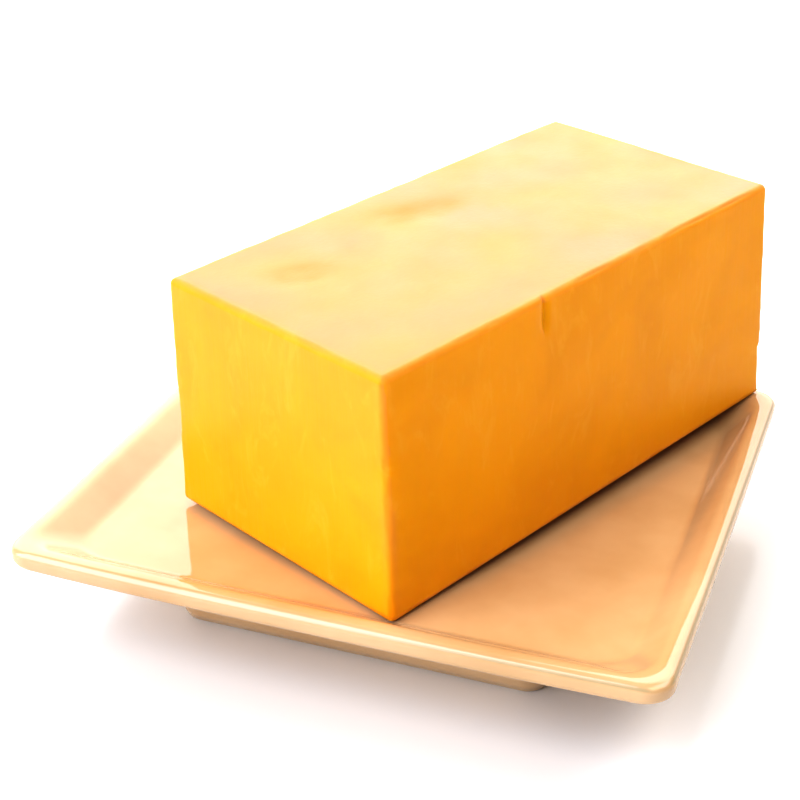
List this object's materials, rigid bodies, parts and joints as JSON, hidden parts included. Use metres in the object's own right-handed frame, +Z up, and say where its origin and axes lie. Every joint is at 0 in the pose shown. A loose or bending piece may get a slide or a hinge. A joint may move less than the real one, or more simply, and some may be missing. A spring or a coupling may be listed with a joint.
{
  "type": "cheese block on plate",
  "caption": "Rectangular cut block of orange semi-hard cheese resting askew on a shallow square glazed plate with a flared foot ring.",
  "frame": {"origin": "middle of the whole part's plan, on the level surface that the foot stands on", "axes": "+Z up, +X along the plate's longer side, +Y along its shorter side towards the side that the cheese overhangs"},
  "size_m": [0.178, 0.1888, 0.0998],
  "materials": {
    "cheese_block": "satin",
    "plate": "gloss"
  },
  "bodies": {
    "root": {"cheese_block": "cheese_block", "plate": "plate"}
  },
  "joints": []
}
